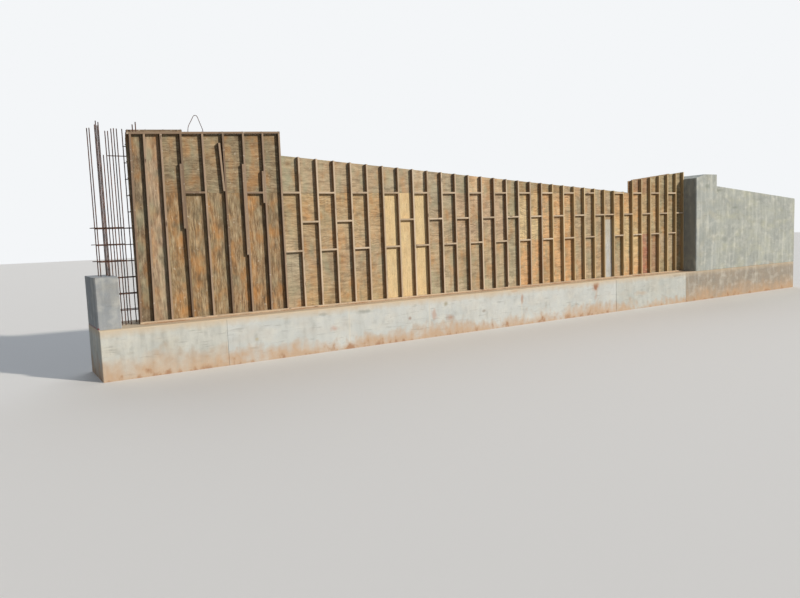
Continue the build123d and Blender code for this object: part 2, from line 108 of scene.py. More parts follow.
def blots(tree, place, size, stretch=(1, 1, 1), detail=4.0, offset=(0, 0, 0)):
    """Soft irregular blots about size millimetres across, longer along an axis that is stretched."""
    scale = [1 / (size * MM * s) for s in stretch]
    mapped = add(tree, "ShaderNodeMapping", {"Vector": place, "Location": offset, "Scale": scale})
    return add(tree, "ShaderNodeTexNoise", {"Vector": mapped, "Scale": 1.0, "Detail": detail})


def stain(tree, colour, over, pattern, low, high, most):
    """Lays a colour over another: none where a pattern is at low, as much as most where it is at high."""
    share = add(
        tree, "ShaderNodeMapRange", {"Value": pattern, "From Min": low, "From Max": high, "To Max": most}
    )
    over = linear(over) if isinstance(over, str) else over
    return add(tree, "ShaderNodeMix", {"Factor": share, "A": colour, "B": over}, data_type="RGBA")


def end_finish(tree, colour, height, depth, roughness, metallic=0.0):
    """The shader, with the surface raised by depth metres where height is 1."""
    bump = add(tree, "ShaderNodeBump", {"Height": height, "Distance": depth})
    shader = add(
        tree, "ShaderNodeBsdfPrincipled",
        {"Base Color": colour, "Roughness": roughness, "Metallic": metallic, "Normal": bump},
    )
    add(tree, "ShaderNodeOutputMaterial", {"Surface": shader})


def face_share(tree, axis):
    """How squarely a face looks along an axis, either way."""
    normal = add(tree, "ShaderNodeNewGeometry").outputs["True Normal"]
    parts = add(tree, "ShaderNodeSeparateXYZ", {0: normal}).outputs
    return add(tree, "ShaderNodeMath", {0: parts[axis]}, operation="ABSOLUTE")


# Tints of the sheets, before grain and weather are laid over them
TINTS = {
    "umber": "#6a573f",
    "brown": "#8b7858",
    "rusty": "#986f41",
    "ochre": "#987a4f",
    "tan": "#bda685",
    "sandy": "#c9b08a",
    "golden": "#c8a877",
    "rosy": "#b0957b",
    "blush": "#cfb191",
    "pale": "#dacbae",
    "grey": "#b6aa90",
    "sage": "#b2aa8c",
    "olive": "#a3936c",
    "dusty": "#c3b698",
    "orange": "#ecb87e",
    "yellow": "#e9cb92",
    "cream": "#ebcda4",
    "brick": "#b4664f",
    "clay": "#a57855",
    "fresh": "#f0d5a0",
    "chalky": "#cfcfc6",
    "cold": "#c5ccd2",
}
# Height over which a sheet's head and foot run into each other, shift of the grain from one sheet
# to the next, and how many bands the fuzz of the grain strays by
TINT_FADE = 0.9
GRAIN_SHIFT = 7.3
BAND_FRAY = 1.2


def sheet_tints(tree, x, z, clouds, sheets, head, foot):
    """The tint of each sheet, which changes from its head to its foot, and the sheet's number."""
    tints = [linear(TINTS[tint]) for tint in sheets[0][1:]]
    number = 0.0
    for left, *names in sheets[1:]:
        past = add(tree, "ShaderNodeMath", {0: x, 1: left}, operation="GREATER_THAN")
        number = add(tree, "ShaderNodeMath", {0: number, 1: past}, operation="ADD")
        tints = [stain(tree, under, TINTS[tint], past, 0, 1, 1) for under, tint in zip(tints, names)]
    level = add(tree, "ShaderNodeMath", {0: clouds, 1: TINT_FADE, 2: z}, operation="MULTIPLY_ADD")
    middle = z_base + TINT_FADE / 2
    return stain(tree, tints[0], tints[1], level, middle + head, middle + foot, 1), number


def growth_bands(tree, grain, across, ring, wander, stretch):
    """Waves of growth across the grain, strong in some places and faint in others."""
    field = blots(tree, grain, 330, (stretch, 1, 1), detail=2)
    fuzz = blots(tree, grain, 30, (6, 1, 1), detail=3)
    count = add(tree, "ShaderNodeMath", {0: across, 1: ring}, operation="DIVIDE")
    turns = add(tree, "ShaderNodeMath", {0: field, 1: wander, 2: count}, operation="MULTIPLY_ADD")
    frayed = add(tree, "ShaderNodeMath", {0: fuzz, 1: BAND_FRAY, 2: turns}, operation="MULTIPLY_ADD")
    angle = add(tree, "ShaderNodeMath", {0: frayed, 1: 2 * math.pi}, operation="MULTIPLY")
    wave = add(tree, "ShaderNodeMath", {0: angle}, operation="SINE")
    patches = blots(tree, grain, 300, (2, 1, 1), detail=4, offset=(5, 5, 5))
    strong = add(tree, "ShaderNodeMapRange", {"Value": patches, "From Min": 0.38, "From Max": 0.64})
    return add(tree, "ShaderNodeMath", {0: wave, 1: strong}, operation="MULTIPLY")


def weather_sheet(tree, colour, place, grain, clouds, gold, film, wear):
    """Dark clouds, old oil, grey film, bruises, worn wood, drips and specks of mortar on a sheet."""
    colour = stain(tree, colour, "#5a4831", clouds, 0.5, 0.74, 0.45 * wear)
    glow = blots(tree, place, 250, (1, 1, 1.7), detail=5, offset=(11, 2, 5))
    colour = stain(tree, colour, "#c4863f", glow, 0.48, 0.68, gold)
    greyed = blots(tree, place, 200, (1, 1, 1.8), detail=5, offset=(5, 9, 2))
    colour = stain(tree, colour, "#9c9f84", greyed, 0.48, 0.66, film)
    bruises = blots(tree, grain, 100, (2.6, 1, 1), detail=5, offset=(7, 3, 1))
    colour = stain(tree, colour, "#54432e", bruises, 0.48, 0.72, 0.5 * wear)
    worn = blots(tree, grain, 80, (3.2, 1, 1), detail=5, offset=(1, 6, 8))
    colour = stain(tree, colour, "#dccba8", worn, 0.52, 0.72, 0.35)
    drips = blots(tree, place, 70, (1, 1, 14), detail=3)
    colour = stain(tree, colour, "#3a2c1e", drips, 0.58, 0.78, 0.3 * wear)
    spots = blots(tree, place, 50, (1, 1, 1.3), detail=4, offset=(2, 7, 1))
    return stain(tree, colour, "#e0d8c4", spots, 0.67, 0.75, 0.35 * wear)


def plywood(name, sheets, upright=False, head=3.6, foot=0.2, ring=75 * MM, wander=5.0, stretch=3.5,
            figure=0.4, gold=0.4, film=0.4, wear=1.0):
    """Rotary-cut softwood plywood: wavy bands of growth, oiled golden and weathered grey; its edge
    shows the plies. Its broad fibres are drawn coarser than real ones, so that they show from afar.
    Sheets come from left to right, each with the x of its left edge and the tints of its head and
    its foot. Head and foot are their heights above the base. Ring is the width of a band, and wander
    says how many bands it strays by. Figure, gold, film and wear say how strong the bands, the oil,
    the grey film and the bruises are."""
    material, tree, place = start_finish(name)
    x, y, z = add(tree, "ShaderNodeSeparateXYZ", {0: place}).outputs
    clouds = blots(tree, place, 500, (1, 1, 1.6), detail=5, offset=(3, 1, 7))
    colour, number = sheet_tints(tree, x, z, clouds, sheets, head, foot)

    along, across = (z, x) if upright else (x, z)
    apart = add(tree, "ShaderNodeMath", {0: number, 1: GRAIN_SHIFT}, operation="MULTIPLY")
    grain = add(tree, "ShaderNodeCombineXYZ", {0: along, 1: across, 2: apart})
    bands = growth_bands(tree, grain, across, ring, wander, stretch)
    colour = stain(tree, colour, "#5a4024", bands, 0, 1, figure)
    colour = stain(tree, colour, "#e8cfa2", bands, -0.2, -1, figure * 0.35)
    streaks = blots(tree, grain, 30, (9, 1, 1), detail=4)
    colour = stain(tree, colour, "#5f4a31", streaks, 0.5, 0.72, figure * 0.8)
    colour = stain(tree, colour, "#e6d3ab", streaks, 0.47, 0.3, figure * 0.6)
    fibres = blots(tree, grain, 8, (30, 1, 1), detail=3)
    colour = stain(tree, colour, "#4a3722", fibres, 0.5, 0.74, 0.5)
    colour = stain(tree, colour, "#ead9b6", fibres, 0.48, 0.3, 0.35)
    pores = blots(tree, grain, 1.8, (34, 1, 1), detail=2, offset=(2, 2, 2))
    colour = stain(tree, colour, "#3f2f1d", pores, 0.5, 0.7, 0.55)
    colour = stain(tree, colour, "#f0e2c4", pores, 0.5, 0.3, 0.4)
    checks = blots(tree, grain, 5, (70, 1, 1), detail=1, offset=(3, 3, 3))
    colour = stain(tree, colour, "#33261a", checks, 0.66, 0.72, 0.6 * wear)
    colour = weather_sheet(tree, colour, place, grain, clouds, gold, film, wear)

    plies = add(tree, "ShaderNodeMath", {0: y, 1: math.pi / PLY}, operation="MULTIPLY")
    glue = add(tree, "ShaderNodeMath", {0: plies}, operation="SINE")
    edge = stain(tree, linear("#cdb68f"), "#84694a", glue, -0.4, 0.4, 1)
    colour = stain(tree, colour, edge, face_share(tree, "Y"), 0.6, 0.4, 1)
    height = add(tree, "ShaderNodeMath", {0: bands, 1: 0.25, 2: fibres}, operation="MULTIPLY_ADD")
    end_finish(tree, colour, height, 0.7 * MM, 0.78)
    return material


# Growth of the two-by-fours: radians of ring a metre, which is a ring every 7 mm, radians that the
# rings wander by, and knots a metre along and across
RING_RATE = 900
RING_WANDER = 22
KNOT_RATE = (2.2, 9, 9)


def timber(name, tones, side="#6e4c2c"):
    """Sawn softwood two-by-fours: growth rings, a few knots, and painted shade on the sides: faces that
    look along x, either way, take the darker side colour. Each board carries its own grain coordinates and
    tone."""
    material, tree, place = start_finish(name)
    grain = add(tree, "ShaderNodeAttribute", attribute_name="grain").outputs["Vector"]
    tone = add(tree, "ShaderNodeAttribute", attribute_name="tone").outputs["Fac"]
    colour = stain(tree, linear(tones[0]), tones[1], tone, 0, 0.5, 1)
    colour = stain(tree, colour, tones[2], tone, 0.5, 1, 1)

    wander = blots(tree, grain, 150, (5, 1, 1), detail=2)
    flat = add(tree, "ShaderNodeVectorMath", {0: grain, 1: (0, 1, 1)}, operation="MULTIPLY")
    from_pith = add(tree, "ShaderNodeVectorMath", {0: flat}, operation="LENGTH")
    waves = add(tree, "ShaderNodeMath", {0: wander, 1: RING_WANDER}, operation="MULTIPLY")
    turns = add(tree, "ShaderNodeMath", {0: from_pith, 1: RING_RATE, 2: waves}, operation="MULTIPLY_ADD")
    rings = add(tree, "ShaderNodeMath", {0: turns}, operation="SINE")
    colour = stain(tree, colour, "#75573a", rings, -1, 1, 0.26)
    fibres = blots(tree, grain, 6, (60, 1, 1), detail=3)
    colour = stain(tree, colour, "#4a3a2b", fibres, 0.54, 0.8, 0.4)
    spread = add(tree, "ShaderNodeMapping", {"Vector": grain, "Scale": KNOT_RATE})
    knots = add(tree, "ShaderNodeTexVoronoi", {"Vector": spread, "Scale": 1.0})
    colour = stain(tree, colour, "#3d2819", knots, 0.16, 0.07, 0.8)
    weather = blots(tree, place, 250, (1, 1, 3), detail=4)
    colour = stain(tree, colour, "#8d8577", weather, 0.5, 0.75, 0.4)
    wet = blots(tree, place, 120, (1, 1, 4), detail=4, offset=(8, 1, 3))
    colour = stain(tree, colour, "#5c4330", wet, 0.58, 0.72, 0.45)
    splash = blots(tree, place, 50, detail=5, offset=(2, 4, 1))
    colour = stain(tree, colour, "#d8d2c2", splash, 0.62, 0.7, 0.6)
    # Painted shade: faces that look along x, either way, take the darker side colour
    colour = stain(tree, colour, side, face_share(tree, "X"), 0.6, 0.8, 0.8)
    height = add(tree, "ShaderNodeMath", {0: rings, 1: 0.3, 2: fibres}, operation="MULTIPLY_ADD")
    end_finish(tree, colour, height, 0.7 * MM, 0.82)
    return material


# Air holes a metre and the radius of the largest, in shares of the space between them
HOLE_RATE = 12
HOLE_RADIUS = 0.13
# How far noise moves the rim of a stain, in half widths of it, and in metres the edge of the dust
# below a ledge, of the soil (by clouds and by marks) and of the crusts in it
STAIN_RAGGED = 2.4
LIP_RAGGED = 0.12
SOIL_CLOUDED = 0.7
SOIL_RAGGED = 0.5
CRUST_RAGGED = 0.9


def board_joints(tree, colour, x, lines):
    """Thin joints left by the boards of the form, each with cement smeared pale beside it."""
    for line in lines:
        off = add(tree, "ShaderNodeMath", {0: x, 1: line}, operation="SUBTRACT")
        beside = add(tree, "ShaderNodeMath", {0: off}, operation="ABSOLUTE")
        colour = stain(tree, colour, "#e9e7dd", beside, 26 * MM, 12 * MM, 0.5)
        colour = stain(tree, colour, "#8f8f86", beside, 5 * MM, 2 * MM, 0.6)
    return colour


def ragged_stains(tree, colour, x, z, marks, stains):
    """Stains at places of their own, their rims frayed by the marks."""
    heart = STAIN_RAGGED / 2 + 0.2
    rim = STAIN_RAGGED / 2 + 1.0
    for stain_x, stain_z, half_width, half_height, tint, strength in stains:
        offset = add(tree, "ShaderNodeCombineXYZ")
        for socket, spot, middle, half in ((0, x, stain_x, half_width), (1, z, stain_z, half_height)):
            limits = {"Value": spot, "From Min": middle - half, "From Max": middle + half, "To Min": -1}
            share = add(tree, "ShaderNodeMapRange", limits, clamp=False)
            tree.links.new(share.outputs["Result"], offset.inputs[socket])
        away = add(tree, "ShaderNodeVectorMath", {0: offset}, operation="LENGTH").outputs["Value"]
        ragged = add(tree, "ShaderNodeMath", {0: marks, 1: STAIN_RAGGED, 2: away}, operation="MULTIPLY_ADD")
        colour = stain(tree, colour, tint, ragged, rim, heart, strength)
    return colour


def ledge_dust(tree, colour, z, warmth, marks, dust):
    """Tan dust on level faces, which has run over the lip of the ledge."""
    drifts = stain(tree, linear("#e6d8bf"), "#c4a283", warmth, 0.46, 0.66, 0.8)
    colour = stain(tree, colour, drifts, face_share(tree, "Z"), 0.3, 0.9, dust)
    lip = add(tree, "ShaderNodeMath", {0: marks, 1: LIP_RAGGED, 2: z}, operation="MULTIPLY_ADD")
    edge = z_base + LIP_RAGGED / 2
    return stain(tree, colour, "#d3c0a3", lip, edge - 150 * MM, edge - 5 * MM, dust)


def ground_soil(tree, colour, z, clouds, marks, soil):
    """Soil splashed up from the ground, with red crusts at the very foot."""
    ground = add(tree, "ShaderNodeMath", {0: clouds, 1: -SOIL_CLOUDED, 2: z}, operation="MULTIPLY_ADD")
    ragged = add(tree, "ShaderNodeMath", {0: marks, 1: -SOIL_RAGGED, 2: ground}, operation="MULTIPLY_ADD")
    thick, end = [height - (SOIL_CLOUDED + SOIL_RAGGED) / 2 for height in soil]
    colour = stain(tree, colour, "#c7a684", ragged, end, thick, 0.8)
    crusts = add(tree, "ShaderNodeMath", {0: marks, 1: -CRUST_RAGGED, 2: z}, operation="MULTIPLY_ADD")
    crust = soil[0] - CRUST_RAGGED / 2
    return stain(tree, colour, "#9c6b48", crusts, crust - 10 * MM, crust - 130 * MM, 0.6)


def concrete(name, body, cool, warm, soil=(0.6, 0.9), dust=0.0, stains=(), lines=(), mottle=0.5,
             streaky=0.25):
    """Cast concrete: a cloudy cement skin, small air holes, smears and faint runs, soil at its foot and
    dust on its ledges. Soil gives the heights where the soil is thick and where it ends. Stains are
    given as x, z, half width, half height, colour and strength; lines are the places of joints
    between the boards that it was cast against."""
    material, tree, place = start_finish(name)
    parts = add(tree, "ShaderNodeSeparateXYZ", {0: place}).outputs
    x, z = parts["X"], parts["Z"]
    clouds = blots(tree, place, 600, (1.5, 1, 1), detail=8)
    colour = stain(tree, linear(body), cool, clouds, 0.42, 0.68, mottle)
    warmth = blots(tree, place, 350, (1.6, 1, 1), detail=6, offset=(4, 4, 9))
    colour = stain(tree, colour, warm, warmth, 0.48, 0.7, mottle)
    marks = blots(tree, place, 130, (1, 1, 1.6), detail=6, offset=(1, 8, 3))
    colour = stain(tree, colour, "#7d817b", marks, 0.54, 0.78, mottle * 0.7)
    pale = blots(tree, place, 160, (1.5, 1, 1), detail=7, offset=(9, 1, 6))
    colour = stain(tree, colour, "#ebebe2", pale, 0.5, 0.72, 0.3)
    smears = blots(tree, place, 35, (9, 1, 1), detail=4, offset=(6, 2, 4))
    colour = stain(tree, colour, "#7b7d77", smears, 0.6, 0.76, 0.45)
    runs = blots(tree, place, 140, (1, 1, 7), detail=4)
    colour = stain(tree, colour, "#868a82", runs, 0.5, 0.74, streaky)
    colour = stain(tree, colour, "#e2e4d9", runs, 0.48, 0.3, streaky)
    sand = blots(tree, place, 6, detail=3)
    colour = stain(tree, colour, "#8a877b", sand, 0.55, 0.8, 0.3)
    grit = blots(tree, place, 2.5, detail=2, offset=(5, 5, 2))
    colour = stain(tree, colour, "#77756c", grit, 0.55, 0.75, 0.35)
    colour = stain(tree, colour, "#f0efe6", grit, 0.45, 0.28, 0.3)
    holes = add(tree, "ShaderNodeTexVoronoi", {"Vector": place, "Scale": HOLE_RATE})
    limits = {"Value": pale, "From Min": 0.5, "From Max": 0.75, "To Max": HOLE_RADIUS}
    width = add(tree, "ShaderNodeMapRange", limits)
    hole = add(tree, "ShaderNodeMath", {0: holes, 1: width}, operation="LESS_THAN")
    colour = stain(tree, colour, "#6a675e", hole, 0, 1, 0.6)

    colour = board_joints(tree, colour, x, lines)
    colour = ragged_stains(tree, colour, x, z, marks, stains)
    if dust:
        colour = ledge_dust(tree, colour, z, warmth, marks, dust)
    colour = ground_soil(tree, colour, z, clouds, marks, soil)
    height = add(tree, "ShaderNodeMath", {0: clouds, 1: 2, 2: sand}, operation="MULTIPLY_ADD")
    pitted = add(tree, "ShaderNodeMath", {0: height, 1: hole}, operation="SUBTRACT")
    end_finish(tree, colour, pitted, 1.2 * MM, 0.9)
    return material


def rusty_steel(name, fresh, deep):
    """Hot-rolled reinforcing bar with thin rust: brown to orange, dull, dark where mill scale is left."""
    material, tree, place = start_finish(name)
    patches = blots(tree, place, 60, (1, 1, 2), detail=5)
    colour = stain(tree, linear(deep), fresh, patches, 0.4, 0.65, 1)
    grains = blots(tree, place, 6, detail=3)
    colour = stain(tree, colour, "#2f2523", grains, 0.5, 0.75, 0.6)
    end_finish(tree, colour, grains, 0.4 * MM, 0.75, 0.35)
    return material


def loose_soil(name):
    """Red clay soil dried on the ledge: crumbly, tan where it is dry."""
    material, tree, place = start_finish(name)
    patches = blots(tree, place, 250, (2, 1, 1), detail=6)
    colour = stain(tree, linear("#d3b594"), "#b58763", patches, 0.42, 0.62, 1)
    lumps = blots(tree, place, 20, detail=5)
    colour = stain(tree, colour, "#e0cbad", lumps, 0.5, 0.68, 0.6)
    colour = stain(tree, colour, "#8a6247", lumps, 0.46, 0.3, 0.5)
    end_finish(tree, colour, lumps, 4 * MM, 0.95)
    return material


# Meshes

def finish_mesh(name, mesh, material):
    """Makes an object at the origin from a bmesh, in one finish, riding on the part."""
    data = bpy.data.meshes.new(name)
    mesh.to_mesh(data)
    mesh.free()
    data.materials.append(material)
    piece = bpy.data.objects.new(name, data)
    bpy.context.scene.collection.objects.link(piece)
    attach(piece, "root")
    return piece


def whole_faces(node):
    """A bmesh of a CAD node, with its loose triangles joined and its flat faces whole again."""
    mesh = bmesh.new()
    mesh.from_mesh(nodes[node].data)
    bmesh.ops.remove_doubles(mesh, verts=mesh.verts, dist=0.05 * MM)
    bmesh.ops.dissolve_limit(mesh, angle_limit=math.radians(1), verts=mesh.verts, edges=mesh.edges)
    return mesh


def loose_parts(mesh):
    """The vertices of each separate solid of a bmesh, from left to right."""
    left = set(mesh.verts)
    parts = []
    for start in mesh.verts:
        if start not in left:
            continue
        left.remove(start)
        part = [start]
        for vert in part:
            for edge in vert.link_edges:
                other = edge.other_vert(vert)
                if other in left:
                    left.remove(other)
                    part.append(other)
        parts.append(part)
    return sorted(parts, key=lambda part: tuple(round(min(v.co[i] for v in part), 5) for i in (0, 2, 1)))


def span(part):
    """Lowest and highest corner of some vertices."""
    low = Vector([min(v.co[i] for v in part) for i in range(3)])
    high = Vector([max(v.co[i] for v in part) for i in range(3)])
    return low, high


def solids(node):
    """Lowest and highest corner of each solid of a CAD node, from left to right."""
    mesh = whole_faces(node)
    corners = [span(part) for part in loose_parts(mesh)]
    mesh.free()
    return corners


# Boards are sliced at this step, so that they can bow. Their grain starts at a place of their own
# along a long trunk, with the pith of the tree beside them.
SLICE = 0.25
TRUNK_LENGTH = 40
PITH_NEAR = 30 * MM
PITH_FAR = 90 * MM


def boards(node, material, axis, bow):
    """Real boards in place of a node's plain ones: eased long edges, a slight bow, grain of their own."""
    pick = random.Random(node)
    mesh = whole_faces(node)
    long_edges = []
    for edge in mesh.edges:
        run = edge.verts[1].co - edge.verts[0].co
        if abs(run[axis]) > 0.9 * run.length:
            long_edges.append(edge)
    bmesh.ops.bevel(mesh, geom=long_edges, offset=EASED_EDGE, segments=2, profile=0.5, affect="EDGES")
    low, high = span(mesh.verts)
    way = Vector((axis == 0, axis == 1, axis == 2))
    cut_at = low[axis] + SLICE
    while cut_at < high[axis]:
        everything = list(mesh.verts) + list(mesh.edges) + list(mesh.faces)
        bmesh.ops.bisect_plane(mesh, geom=everything, plane_co=way * cut_at, plane_no=way)
        cut_at += SLICE
    grain = mesh.verts.layers.float_vector.new("grain")
    tone = mesh.verts.layers.float.new("tone")
    across, deep = [i for i in (0, 1, 2) if i != axis]
    for part in loose_parts(mesh):
        part_low, part_high = span(part)
        centre = (part_low + part_high) / 2
        length = part_high[axis] - part_low[axis]
        start = pick.uniform(0, TRUNK_LENGTH)
        pith = (
            pick.uniform(-PITH_FAR, PITH_FAR), pick.choice((-1, 1)) * pick.uniform(PITH_NEAR, PITH_FAR)
        )
        board_tone = pick.random()
        bend = pick.uniform(-bow, bow)
        for vert in part:
            share = (vert.co[axis] - part_low[axis]) / length
            vert[grain] = (
                vert.co[axis] + start,
                vert.co[across] - centre[across] + pith[0],
                vert.co[deep] - centre[deep] + pith[1],
            )
            vert[tone] = board_tone
            vert.co[across] += bend * math.sin(math.pi * share)
    piece = finish_mesh(node + ".boards", mesh, material)
    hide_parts(node)


# Trees of geometry nodes

def start_tree(name, **sizes):
    """A new tree with named inputs for its sizes, and its input node."""
    tree = bpy.data.node_groups.new(name, "GeometryNodeTree")
    tree.interface.new_socket("Geometry", in_out="INPUT", socket_type="NodeSocketGeometry")
    for size, value in sizes.items():
        socket = tree.interface.new_socket(size, in_out="INPUT", socket_type="NodeSocketFloat")
        socket.default_value = value
    tree.interface.new_socket("Finish", in_out="INPUT", socket_type="NodeSocketMaterial")
    tree.interface.new_socket("Geometry", in_out="OUTPUT", socket_type="NodeSocketGeometry")
    return tree, add(tree, "NodeGroupInput").outputs


def end_tree(tree, given, *shapes):
    """Joins the shapes, makes their copies real and gives them the finish."""
    joined = add(tree, "GeometryNodeJoinGeometry")
    for shape in shapes:
        tree.links.new(shape.outputs[0], joined.inputs[0])
    real = add(tree, "GeometryNodeRealizeInstances", {"Geometry": joined})
    finished = add(tree, "GeometryNodeSetMaterial", {"Geometry": real, "Material": given["Finish"]})
    add(tree, "NodeGroupOutput", {0: finished})


def grow(name, tree, points, finish, edges=(), facing=None, bends=None, **sizes):
    """Runs a tree on points and edges and keeps the result as a plain mesh that rides on the part."""
    data = bpy.data.meshes.new(name)
    data.from_pydata(points, edges, [])
    if facing:
        ways = data.attributes.new("facing", "FLOAT_VECTOR", "POINT")
        ways.data.foreach_set("vector", [number for way in facing for number in way])
    if bends:
        data.attributes.new("bend", "FLOAT", "POINT").data.foreach_set("value", bends)
    piece = bpy.data.objects.new(name, data)
    bpy.context.scene.collection.objects.link(piece)
    modifier = piece.modifiers.new("tree", "NODES")
    modifier.node_group = tree
    values = {**sizes, "Finish": finish}
    for socket in tree.interface.items_tree:
        if socket.name in values:
            modifier[socket.identifier] = values[socket.name]
    view = bpy.context.evaluated_depsgraph_get()
    grown = bpy.data.meshes.new_from_object(piece.evaluated_get(view))
    piece.modifiers.remove(modifier)
    piece.data = grown
    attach(piece, "root")
    return piece


def ribbed_bar_tree():
    """Reinforcing bars along paths, rounded at their bends: a round core, slanted ribs at even steps.
    Core and rib are radii."""
    tree, given = start_tree("ribbed bars", Core=9 * MM, Rib=9.8 * MM, Step=13 * MM, Tilt=0.35)
    line = add(tree, "GeometryNodeMeshToCurve", {"Mesh": given["Geometry"]})
    bend = add(tree, "GeometryNodeInputNamedAttribute", {"Name": "bend"}, data_type="FLOAT")
    path = add(tree, "GeometryNodeFilletCurve", {"Curve": line, "Count": 8, "Radius": bend}, mode="POLY")
    section = add(tree, "GeometryNodeCurvePrimitiveCircle", {"Resolution": 12, "Radius": given["Core"]})
    core = add(
        tree, "GeometryNodeCurveToMesh", {"Curve": path, "Profile Curve": section, "Fill Caps": True}
    )
    smooth = add(tree, "GeometryNodeSetShadeSmooth", {"Geometry": core})
    steps = add(tree, "GeometryNodeCurveToPoints", {"Curve": path, "Length": given["Step"]}, mode="LENGTH")
    disc = add(
        tree, "GeometryNodeMeshCylinder", {"Vertices": 10, "Radius": given["Rib"], "Depth": 2.5 * MM}
    )
    slant = add(tree, "ShaderNodeCombineXYZ", {0: given["Tilt"]})
    turned = add(
        tree, "FunctionNodeRotateRotation",
        {"Rotation": steps.outputs["Rotation"], "Rotate By": slant}, rotation_space="LOCAL",
    )
    ribs = add(
        tree, "GeometryNodeInstanceOnPoints", {"Points": steps, "Instance": disc, "Rotation": turned}
    )
    end_tree(tree, given, smooth, ribs)
    return tree


def tie_tree():
    """Wire ties at crossings of bars: a slanted ring round both bars and a twisted tail. Wire is a
    radius."""
    tree, given = start_tree("wire ties", Wire=0.8 * MM, Width=31 * MM, Depth=42 * MM, Tail=26 * MM, Seed=4)
    section = add(tree, "GeometryNodeCurvePrimitiveCircle", {"Resolution": 5, "Radius": given["Wire"]})
    ring = add(tree, "GeometryNodeCurvePrimitiveCircle", {"Resolution": 18, "Radius": 0.5})
    oval_size = add(tree, "ShaderNodeCombineXYZ", {0: given["Width"], 1: given["Depth"], 2: 1.0})
    oval = add(tree, "GeometryNodeTransform", {"Geometry": ring, "Scale": oval_size})
    twist = add(tree, "GeometryNodeCurveSpiral", {
        "Resolution": 9, "Rotations": 3.0, "Start Radius": 1.3 * MM, "End Radius": 1.3 * MM,
        "Height": given["Tail"],
    })
    edge = add(tree, "ShaderNodeMath", {0: given["Depth"], 1: -0.5}, operation="MULTIPLY")
    tail_place = add(tree, "ShaderNodeCombineXYZ", {1: edge})
    tail = add(
        tree, "GeometryNodeTransform",
        {"Geometry": twist, "Translation": tail_place, "Rotation": (math.pi / 2, 0, 0)},
    )
    lines = add(tree, "GeometryNodeJoinGeometry")
    tree.links.new(oval.outputs[0], lines.inputs[0])
    tree.links.new(tail.outputs[0], lines.inputs[0])
    tie = add(
        tree, "GeometryNodeCurveToMesh", {"Curve": lines, "Profile Curve": section, "Fill Caps": True}
    )
    flip = add(tree, "FunctionNodeRandomValue", {"Seed": given["Seed"]}, data_type="BOOLEAN")
    lean = add(
        tree, "ShaderNodeMath", {0: flip, 1: math.pi / 2, 2: -math.pi / 4}, operation="MULTIPLY_ADD"
    )
    turn = add(tree, "ShaderNodeCombineXYZ", {1: lean})
    crossings = given["Geometry"]
    ties = add(
        tree, "GeometryNodeInstanceOnPoints", {"Points": crossings, "Instance": tie, "Rotation": turn}
    )
    end_tree(tree, given, ties)
    return tree


def nail_tree():
    """Double-headed form nails, each driven to its first head, along its point's facing. Shank and
    head are radii."""
    tree, given = start_tree("form nails", Shank=1.9 * MM, Head=4.5 * MM, Proud=11 * MM)
    shank_length = add(tree, "ShaderNodeMath", {0: given["Proud"], 1: 2.0}, operation="MULTIPLY")
    shank = add(
        tree, "GeometryNodeMeshCylinder", {"Vertices": 6, "Radius": given["Shank"], "Depth": shank_length}
    )
    head = add(
        tree, "GeometryNodeMeshCylinder", {"Vertices": 8, "Radius": given["Head"], "Depth": 1.6 * MM}
    )
    upward = add(tree, "ShaderNodeCombineXYZ", {2: given["Proud"]})
    raised = add(tree, "GeometryNodeTransform", {"Geometry": head, "Translation": upward})
    nail = add(tree, "GeometryNodeJoinGeometry")
    for shape in (shank, head, raised):
        tree.links.new(shape.outputs[0], nail.inputs[0])
    way = add(tree, "GeometryNodeInputNamedAttribute", {"Name": "facing"}, data_type="FLOAT_VECTOR")
    turned = add(tree, "FunctionNodeAlignRotationToVector", {"Vector": way}, axis="Z")
    nails = add(
        tree, "GeometryNodeInstanceOnPoints",
        {"Points": given["Geometry"], "Instance": nail, "Rotation": turned},
    )
    end_tree(tree, given, nails)
    return tree


def crumb_tree():
    """Crumbs of soil and mortar strewn about their points, each turned and sized at random."""
    tree, given = start_tree("crumbs", Least=3 * MM, Most=16 * MM, Seed=2)
    lump = add(tree, "GeometryNodeMeshIcoSphere", {"Radius": 0.5, "Subdivisions": 1})
    sizes = {"Min": given["Least"], "Max": given["Most"], "Seed": given["Seed"]}
    size = add(tree, "FunctionNodeRandomValue", sizes, data_type="FLOAT")
    squash = add(
        tree, "FunctionNodeRandomValue", {"Min": (0.6, 0.5, 0.4), "Max": (1.3, 1.0, 0.8)},
        data_type="FLOAT_VECTOR",
    )
    scale = add(tree, "ShaderNodeVectorMath", {0: squash, "Scale": size}, operation="SCALE")
    turn = add(
        tree, "FunctionNodeRandomValue", {"Min": (0, 0, 0), "Max": (2 * math.pi,) * 3},
        data_type="FLOAT_VECTOR",
    )
    crumbs = add(
        tree, "GeometryNodeInstanceOnPoints",
        {"Points": given["Geometry"], "Instance": lump, "Rotation": turn, "Scale": scale},
    )
    end_tree(tree, given, crumbs)
    return tree


